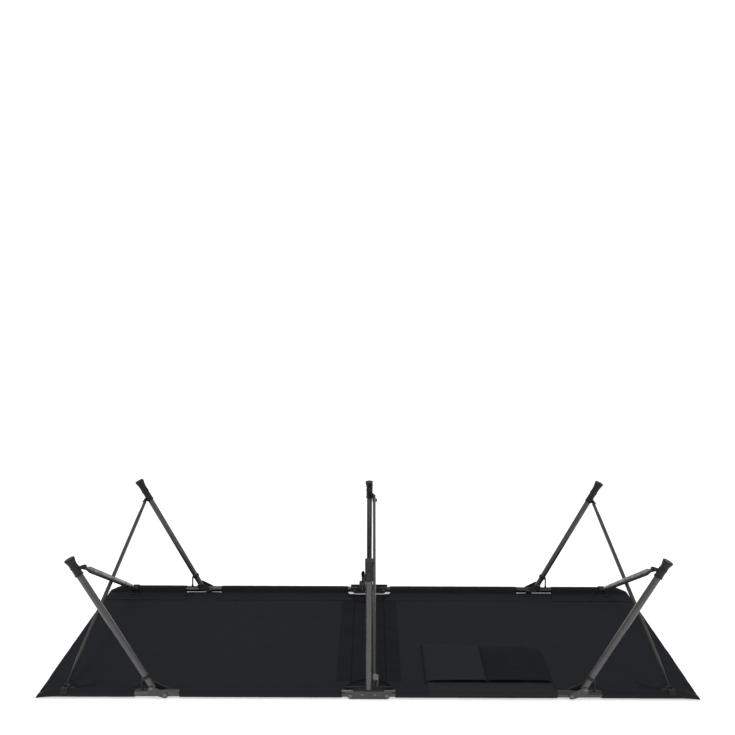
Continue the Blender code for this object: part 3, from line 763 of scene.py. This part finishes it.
def make_middle_set():
    """Upright legs, their boots with the braces' rests, the braces and the release levers."""
    for row, facts in ROWS.items():
        side = facts["side"]
        body = row + "_middle"
        foot = np.array([0, side * HALF_SPAN, 0])
        shells = [pipe(foot + Z * 0.0030, foot + Z * MID_LEG_TOP, LEG_RADIUS)]
        put(row + "_upright_tube", shells, LEG_PAINT, body, [row + "_middle_leg"])
        start, end = MID_BOOT_SPAN
        depth = MID_LEG_TOP - start + 0.0003
        boot, boot_faces = boot_shell(foot + Z * start, Z, end - start, depth)
        boot[:, 0] = np.clip(boot[:, 0] * side, None, BOOT_FLAT) * side
        shells = [(boot, boot_faces)]
        x_low = min(side * 0.0104, side * 0.0265)
        low = MID_BRACE_TOP - 0.026
        shelf = rounded([(0, 0), (0.0161, 0), (0.0161, 0.010), (0, 0.010)], 0.002, 5)
        shells.append(slab(shelf, np.array([x_low, foot[1] + 0.005, low]), X, Z, 0.010, 0.0005))
        rib = rounded([(0, 0), (0.0046, 0), (0.0046, 0.028), (0, 0.028)], 0.0014, 5)
        rib_low = min(side * 0.0104, side * 0.0150)
        place = np.array([rib_low, foot[1] + 0.0045, low + 0.002])
        shells.append(slab(rib, place, X, Z, 0.009, 0.0004))
        put(row + "_upright_boot", shells, BLACK_PLASTIC, body, [row + "_middle_boot"])
        hinge = mid_hinge(side)
        top = np.array([hinge[0], -side * (HALF_SPAN - 0.012), MID_BRACE_TOP])
        length = np.linalg.norm(top - hinge)
        wide, thick = BRACE_HALF_WIDTH, BRACE_HALF_DEPTH
        rows = [
            (-0.0085, 0.0045, 0.0036), (-0.0078, 0.0060, 0.0044), (-0.0050, 0.0080, thick),
            (0.0300, wide, thick), (length - 0.0010, wide, thick),
            (length, wide - 0.0006, thick - 0.0006), (length, wide - WALL, thick - WALL),
            (0.0300, wide - WALL, thick - WALL),
        ]
        shells = [ovals(rows, hinge, top - hinge, X, 36)]
        moving = row + "_upright_brace"
        put(moving + "_bar", shells, BRACE_PAINT, moving, [row + "_middle_brace"])
        make_lever(row, side, hinge)


def make_lever(row, side, hinge):
    """A release lever: a flat arm on the stub pin and a tab across its top."""
    way = -side
    face = hinge[0] + way * 0.0092
    head = (side * (HALF_SPAN - 0.0120), hinge[2] + 0.040)
    outline = link((hinge[1], hinge[2]), head, 0.0065, 0.0045, 12)
    shells = [slab(outline, X * min(face, face + way * 0.0020), Y, Z, 0.0020, 0.0004)]
    inner = side * -0.0120
    corners = [
        (face + way * 0.0018, hinge[2] + 0.027), (inner, hinge[2] + 0.027),
        (inner, hinge[2] + 0.047), (face - way * 0.004, hinge[2] + 0.047),
        (face + way * 0.0018, hinge[2] + 0.040),
    ]
    tab = rounded(corners, 0.003, 6)
    shells.append(slab(tab, Y * (head[0] + 0.0010), X, Z, 0.0020, 0.0005))
    look, slot = (GREY_PLASTIC, "lever") if row == "near" else (BLACK_PLASTIC, "plastic")
    put(row + "_lever_arm", shells, look, row + "_lever", [row + "_release_lever"])


# --- cloth ---


def edge_in(x):
    """How far the cloth's long edges lie in from the rail's axis: less at the legs' cutouts."""
    x = np.abs(x)
    leg_gap = ramp(x, CUTOUT[0] - 0.004, CUTOUT[0] + 0.010)
    leg_gap = leg_gap - ramp(x, CUTOUT[1] - 0.010, CUTOUT[1] + 0.004)
    plate_gap = 1 - ramp(x, 0.070, 0.078)
    return EDGE_INSET - 0.0050 * leg_gap + 0.0050 * plate_gap


def cloth_height(x, y):
    """Height of the cloth's upper side: a slight sag in the middle and long soft creases."""
    creases = ripple(x, y * 2.2, 1.3, 0.55) * 0.0006
    loose = ramp(np.abs(x), 0.70, 0.95) * ripple(x * 1.6, y, 4.2, 0.22) * 0.0012
    at_edge = ramp(np.abs(y), 0.284, 0.300) * 0.0006
    return 0.0016 + np.abs(creases + loose) + at_edge


def make_main_cloth(half, end):
    """Half of the sleeping cloth: x runs from the hinge line out, y between its two edges."""
    u = np.linspace(0, 1, 190)[:, None]
    v = np.linspace(-1, 1, 130)[None, :]
    x = end * (PIN_X + (HALF_LENGTH - PIN_X) * u) + 0 * v
    y = v * (HALF_SPAN - edge_in(x))
    corner = ramp(np.abs(x), 0.90, 0.95) * ramp(np.abs(y), 0.20, 0.30) * 0.004
    points = np.stack([x - end * corner, y, cloth_height(x, y)], -1)
    if end < 0:
        points = points[::-1]
    body = f"near_{half}_side"
    return lay(half + "_cloth", [cloth_grid(points)], CLOTH, body, 0.0011, [half + "_panel"])


# Creases over an outer strip: x where each starts, x per q, width and height
CREASES = (
    (0.80, 1.1, 0.012, 0.0050), (0.715, -0.9, 0.010, 0.0042), (0.760, 0.7, 0.008, 0.0030),
    (0.885, -1.3, 0.010, 0.0036),
)


def flap_shell(half_end, side, span, seed):
    """A hem's turned-back strip: x between its two shaped ends, q from the sleeve to the seam."""
    q = np.linspace(STRIP_START, FLAP_WIDTH, 26)[None, :]
    u = np.linspace(0, 1, 120)[:, None]
    if span == "inner":
        deep = np.clip((q - STRIP_START) / ARCH_DEPTH, 0, 1)
        low = np.maximum(ARCH_HALF * np.sqrt(1 - deep**2), 0.0535)
        high = CUTOUT[0] + 0.006 * ramp(q, 0.0, FLAP_WIDTH)
    else:
        low = CUTOUT[1] - 0.010 * ramp(q, 0.0, FLAP_WIDTH)
        high = HALF_LENGTH - 0.0015 + 0 * q
    x = low + (high - low) * u
    q = q + 0 * x
    lift = 0.0008 * (0.5 + 0.5 * ripple(x, q * 2, seed, 0.10))
    lift = lift * (1 - ramp(q, 0.052, FLAP_WIDTH - 0.004))
    share = 1.0 if side < 0 else 0.3  # of each crease's height: the far strips are smoother
    crease = 0
    for at, lean, wide, tall in CREASES:
        run = np.exp(-(((x - at - q * lean) / wide) ** 2))
        crease = crease + share * tall * run * ramp(q, STRIP_START, 0.03)
    z = cloth_height(half_end * x, side * (HALF_SPAN - q)) + 0.0013 + lift + crease
    edge = 1 - ramp(np.minimum(u, 1 - u) + 0 * q, 0.0, 0.012)
    z = z - 0.0005 * edge
    y = side * (HALF_SPAN - q)
    points = np.stack([half_end * x, y, z], -1)
    if half_end * side > 0:
        points = points[::-1]
    return cloth_grid(points)


def make_flaps(half, end):
    """The four turned-back strips of one half, which lie on the cloth."""
    shells = []
    for k, side in enumerate((-1, 1)):
        for m, span in enumerate(("inner", "outer")):
            shells.append(flap_shell(end, side, span, 2.0 + 1.7 * k + 0.9 * m + 0.4 * end))
    return lay(half + "_flaps", shells, FLAP_CLOTH, f"near_{half}_side", 0.0009)


def sleeve_profile():
    """Section of the sleeve as (inward, height, roundness): a tail, then round the rail."""
    a = np.radians(np.linspace(-78, -322, 40))
    inward = SLEEVE_RADIUS * np.cos(a)
    height = RAIL_HEIGHT + SLEEVE_RADIUS * np.sin(a)
    tail_in = np.array([0.0160, 0.0100, 0.0055])
    tail_height = np.array([0.0010, 0.0008, 0.0006])
    end_in = np.array([0.0118, 0.0138, 0.0168])
    end_height = np.array([0.0090, 0.0052, 0.0040])
    inward = np.concatenate([tail_in, inward, end_in])
    height = np.concatenate([tail_height, height, end_height])
    loose = np.concatenate([[0, 0, 0], np.sin(np.linspace(0, math.pi, 40)), [0.3, 0.1, 0]])
    return inward, np.maximum(height, 0.0005), loose


def make_sleeve(half, end, row, side, span, limits, stands_for):
    """A sleeve: its section carried along the rail, drawn in at its ends and slightly creased."""
    inward, height, loose = sleeve_profile()
    x = np.linspace(limits[0], limits[1], 150)[:, None]
    tight = 0.0006 * (ramp(x, limits[0], limits[0] + 0.02) - ramp(x, limits[1] - 0.02, limits[1]))
    wave = ripple(x, inward[None, :] * 3, 3.0 + side + 0.3 * end + limits[0] * 9, 0.09)
    size = 1 + loose[None, :] * (0.018 * wave - 0.03 + tight * 50)
    droop = 1 - 0.87 * np.clip((x - 0.9005) / 0.0490, 0, 1) ** 1.3
    q = inward[None, :] * size
    z = RAIL_HEIGHT + (height[None, :] - RAIL_HEIGHT) * size
    z = np.maximum(z * droop, 0.0008)
    points = np.stack([end * x + 0 * q, side * (HALF_SPAN - q), z], -1)
    if end * side < 0:
        points = points[::-1]
    name = f"{row}_{half}_{span}_sleeve"
    body = f"{row}_{half}_side"
    return lay(name, [cloth_grid(points)], FLAP_CLOTH, body, 0.0008, stands_for)


def make_middle_cloth():
    """The cloth between the hinge lines, reaching a little under both halves."""
    x = np.linspace(-0.066, 0.066, 120)[:, None]
    v = np.linspace(-1, 1, 110)[None, :]
    y = v * (HALF_SPAN - 0.0175) + 0 * x
    under = ramp(np.abs(x), 0.0500, 0.0522)
    z = 0.0018 - 0.0013 * under + 0.0003 * ripple(x, y, 2.2, 0.2) * (1 - under)
    points = np.stack([x + 0 * y, y, np.maximum(z, 0.0004)], -1)
    shells = [cloth_grid(points)]
    return lay("middle_cloth", shells, CLOTH, "near_middle", 0.0004, ["middle_panel"])


def ribbon(path, width, height):
    """A flat binding along path: an oval section square to the path, width across and height up."""
    path = np.asarray(path, float)
    way = np.gradient(path, axis=0)
    way /= np.linalg.norm(way, axis=1, keepdims=True)
    across = np.cross(way, Z)
    across /= np.linalg.norm(across, axis=1, keepdims=True)
    a = np.linspace(0, 2 * math.pi, 10, endpoint=False)
    points = (
        path[:, None, :]
        + across[:, None, :] * (np.cos(a) * width / 2)[None, :, None]
        + Z * (np.sin(a) * height / 2)[None, :, None]
    )
    return capped(points, False)


def arch_path(side, angles):
    """Points of the arch round the plates: x = half width cos t, inward = start + depth sin t."""
    x = ARCH_HALF * np.cos(angles)
    q = STRIP_START + ARCH_DEPTH * np.sin(angles)
    return np.stack([x, side * (HALF_SPAN - q), np.full_like(x, 0.0036)], -1)


def make_arches():
    """Bindings of the arches cut round the hinge plates, in pieces that part at the hinge lines."""
    split, middle_split = (math.acos(x / ARCH_HALF) for x in (0.0545, 0.0505))
    for half, end in HALVES.items():
        shells = []
        for side in (-1, 1):
            path = arch_path(side, np.linspace(0.02, split, 20))
            path[:, 0] *= end
            shells.append(ribbon(path, 0.0050, 0.0024))
        made = put(half + "_arch_binding", shells, POCKET_DARK, f"near_{half}_side")
        fold_with_rails(made)
    middle = np.linspace(middle_split, math.pi - middle_split, 40)
    shells = [ribbon(arch_path(side, middle), 0.0050, 0.0024) for side in (-1, 1)]
    made = put("middle_arch_binding", shells, POCKET_DARK, "near_middle")
    fold_with_rails(made)


def stitches(start, end, lift):
    """A row of stitches from start to end: each is a short spindle of three rings."""
    start, end, length = run_of(start, end)
    way = (end - start) / length
    pitch = 0.0042
    count = int(length / pitch)
    side = np.cross(Z, way)
    ring_at = np.array([-0.40, 0.0, 0.40]) * pitch
    ring_size = np.array([0.45, 1.0, 0.45]) * 0.00035
    a = np.linspace(0, 2 * math.pi, 6, endpoint=False)
    centres = start + way * ((np.arange(count) + 0.5) * pitch)[:, None]
    centres[:, 2] = lift(centres[:, 0], centres[:, 1])
    spokes = np.cos(a)[None, :, None] * side + np.sin(a)[None, :, None] * Z
    shape = ring_at[:, None, None] * way + ring_size[:, None, None] * spokes
    points = centres[:, None, None, :] + shape[None]
    first = np.arange(count)[:, None, None] * 18
    sides = (np.array(grid(3, 6, False, True)) + first).reshape(-1, 4).tolist()
    caps = (np.array([range(5, -1, -1), range(12, 18)]) + first).reshape(-1, 6).tolist()
    return points.reshape(-1, 3), sides + caps


def make_stitching(half, end):
    """Two rows of stitches along each strip's seam, and the rows beside the middle band."""
    def on_flap(x, y):
        return cloth_height(x, y) + 0.0017

    def on_cloth(x, y):
        return cloth_height(x, y) + 0.0001

    shells = []
    for side in (-1, 1):
        for back in (0.0030, 0.0085):
            y = side * (HALF_SPAN - FLAP_WIDTH + back)
            for low, high in ((0.062, CUTOUT[0] - 0.002), (CUTOUT[1] + 0.001, 0.944)):
                shells.append(stitches((end * low, y, 0), (end * high, y, 0), on_flap))
    for x in (0.0960, 0.1000):
        shells.append(stitches((end * x, -0.238, 0), (end * x, 0.238, 0), on_cloth))
    return put(half + "_stitching", shells, THREAD, f"near_{half}_side")


def fold_with_rails(piece, anchor=-CLOTH_EDGE, keep=FOLD_KEEP):
    """Gives the piece a mesh of its own."""
    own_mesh(piece)
    return piece


POCKET_X = (0.170, 0.545)
POCKET_Y = (-0.2450, -0.042)
POCKET_SEAM = 0.351
POCKET_FOLD = (-0.2466, 0.16)  # anchor and keep of the pocket's squash


def pocket_height(u, v, x, y):
    """Height of the pocket: full at its mouth, sewn down at its other edges, creased and seamed."""
    sides = 1 - np.abs(2 * u - 1) ** 14
    back = 1 - v**10
    seam = 1 - 0.55 * np.exp(-(((x - POCKET_SEAM) / 0.005) ** 2))
    left = ramp(x, POCKET_SEAM - 0.01, POCKET_SEAM + 0.01)
    swell = 0.0078 + 0.0022 * ripple(x, y, 6.1, 0.16) * left + 0.0007 * ripple(x, y, 2.7, 0.3)
    return 0.0030 + np.clip(swell, 0.002, 0.0115) * np.clip(sides * back * seam, 0, 1)


def make_pocket():
    """The storage pocket: a swelling panel with a rounded far corner, its mouth and front band."""
    body = "near_right_side"
    u = np.linspace(0, 1, 120)[:, None]
    v = np.linspace(0, 1, 80)[None, :]
    x = POCKET_X[0] + (POCKET_X[1] - POCKET_X[0]) * u
    corner = 0.045
    over = np.clip((x - (POCKET_X[1] - corner)) / corner, 0, 1)
    slant = ramp(x, POCKET_SEAM - 0.03, POCKET_SEAM + 0.02)
    back = POCKET_Y[1] - corner * (1 - np.sqrt(1 - over**2)) - 0.012 * slant
    front = POCKET_Y[0] + 0 * x
    y = front + (back - front) * v
    x = x + 0 * y
    z = pocket_height(u, v, x, y)
    slack = 0.0016 * np.exp(-((v / 0.05) ** 2)) * np.sin(math.pi * u) * ripple(x, 0 * y, 1.1, 0.14)
    points = np.stack([x, y, z + np.abs(slack)], -1)
    seam_row = int(round((POCKET_SEAM - POCKET_X[0]) / (POCKET_X[1] - POCKET_X[0]) * 119))
    left, right = points[: seam_row + 1], points[seam_row:]
    panels = []
    halves = (("left", left, POCKET_CLOTH, ["pocket"]), ("right", right, POCKET_DARK, []))
    for name, part, finish, nodes in halves:
        made = lay(f"pocket_{name}_panel", [cloth_grid(part)], finish, body, 0.0008, nodes)
        panels.append(fold_with_rails(made, *POCKET_FOLD))
    q = np.linspace(0.0150, 0.0625, 20)
    a = np.radians(np.linspace(36, 176, 24))
    over_hem = SLEEVE_RADIUS + 0.0007
    inward = np.concatenate([q[::-1], over_hem * np.cos(a)])[None, :]
    height = np.concatenate([np.full(20, 0.0050), RAIL_HEIGHT + over_hem * np.sin(a)])[None, :]
    lip = 0.0040 * np.exp(-(((inward - 0.0150) / 0.0045) ** 2))
    height = height + lip * (np.arange(44)[None, :] < 20)
    x = np.linspace(0.1730, 0.5385, 110)[:, None]
    flat = ramp(inward, 0.012, 0.020)
    ease = 0.0005 * ripple(x, inward * 2, 7.7, 0.12) * flat
    points = np.stack([x + 0 * inward, -(HALF_SPAN - inward) + 0 * x, height + ease], -1)
    band = lay("pocket_front_band", [cloth_grid(points)], POCKET_BAND, body, 0.0007)
    side_y = np.linspace(-0.262, -0.048, 40)
    edge = np.stack([np.full(40, 0.1680), side_y, np.full(40, 0.0040)], -1)
    shells = [ribbon(edge, 0.0055, 0.0026)]
    made = put("pocket_piping", shells, POCKET_DARK, body)
    fold_with_rails(made)
    shells = [stitches((0.1755, -0.232, 0), (0.1755, -0.052, 0), lambda x, y: 0.0062 + 0 * x)]
    shells.append(stitches((0.180, -0.2545, 0), (0.534, -0.2545, 0), lambda x, y: 0.0052 + 0 * x))
    made = put("pocket_stitching", shells, THREAD, body)
    fold_with_rails(made, *POCKET_FOLD)
    return panels + [band]


def make_cloth():
    """All the cloth: halves with their strips and sleeves, the middle, the bindings, the pocket."""
    pocket = make_pocket()
    middle = make_middle_cloth()
    make_arches()
    fold_with_rails(middle)
    for half, end in HALVES.items():
        cloth = fold_with_rails(make_main_cloth(half, end))
        flaps = fold_with_rails(make_flaps(half, end))
        fold_with_rails(make_stitching(half, end))
        on_it = [flaps]
        for row, facts in ROWS.items():
            for span, limits in (("inner", (0.0765, CUTOUT[0])), ("outer", (CUTOUT[1], 0.9498))):
                stands = [f"far_{half}_hem"] if row == "far" and span == "inner" else []
                on_it.append(make_sleeve(half, end, row, facts["side"], span, limits, stands))
        if half == "right":
            on_it += pocket


# --- room ---


FLOOR_HALF = 30.0
FLOOR_DROP = 0.0005  # how far the floor lies under the cot
FLOOR_GLOW = 0.48
SKY_LIGHT, SKY_SEEN = 0.58, 1.03  # the sky's strength as light, and where the camera sees it
CAMERA_LENS = 35.77
CAMERA_SHIFT = (-0.0075, 0.14)
CAMERA_PLACE = (0.0008, -2.0871, 1.2919)
CAMERA_TURN = (math.pi / 2 - 0.3284, -0.0056, -0.0026)


def make_room():
    """A pale floor, and soft light from above and the sides."""
    line = np.linspace(-FLOOR_HALF, FLOOR_HALF, 3)
    x, y = np.meshgrid(line, line, indexing="ij")
    points = np.stack([x, y, 0 * x - FLOOR_DROP], -1).reshape(-1, 3)
    mesh = bpy.data.meshes.new("floor")
    mesh.from_pydata(points.tolist(), [], grid(3, 3))
    paint = bpy.data.materials.new("floor paint")
    paint.use_nodes = True
    shader = paint.node_tree.nodes["Principled BSDF"]
    set_inputs(shader, Base_Color=(0.93, 0.93, 0.93, 1), Roughness=0.9, Specular_IOR_Level=0.1)
    set_inputs(shader, Emission_Color=(1, 1, 1, 1), Emission_Strength=FLOOR_GLOW)
    mesh.materials.append(paint)
    new_object("floor", mesh)
    world = bpy.data.worlds.new("studio")
    bpy.context.scene.world = world
    world.use_nodes = True
    tree = world.node_tree
    sky = tree.nodes["Background"]
    set_inputs(sky, Color=(1, 1, 1, 1))
    seen = tree.nodes.new("ShaderNodeLightPath").outputs["Is Camera Ray"]
    tree.links.new(spread(tree, seen, 0.0, 1.0, SKY_LIGHT, SKY_SEEN), sky.inputs["Strength"])
    lamps = (
        ("key", (-0.5, 0.2, 3.0), (0, 0, 0), 3.2, 0.9, 30.0),
        ("side", (2.9, -1.0, 1.6), (0, 0, 0.1), 0.5, 1.8, 10.0),
        ("front", (-1.6, -3.2, 1.4), (0, 0, 0.2), 0.6, 1.2, 7.0),
    )
    for name, place, aim, wide, deep, power in lamps:
        light = bpy.data.lights.new(name, "AREA")
        light.shape = "RECTANGLE"
        light.size, light.size_y, light.energy = wide, deep, power
        lamp = new_object(name, light)
        lamp.location = place
        lamp.rotation_euler = look_along(np.array(aim, float) - np.array(place, float))


def look_along(way):
    """Turns that point a lamp's own -Z along way."""
    way = unit(way)
    pitch = math.acos(-way[2])
    return (pitch, 0.0, math.atan2(-way[0], way[1]))


def make_camera():
    """The camera in front of the near rail, looking down at the cot."""
    data = bpy.data.cameras.new("camera")
    data.lens = CAMERA_LENS
    data.sensor_width = 36.0
    data.shift_x, data.shift_y = CAMERA_SHIFT
    data.clip_end = 100
    camera = new_object("camera", data)
    camera.location = CAMERA_PLACE
    camera.rotation_euler = CAMERA_TURN
    bpy.context.scene.camera = camera


make_room()
make_camera()
make_rails()
make_plates()
make_end_legs()
make_middle_set()
make_cloth()
bpy.context.scene.view_settings.view_transform = "Standard"
bpy.context.view_layer.update()
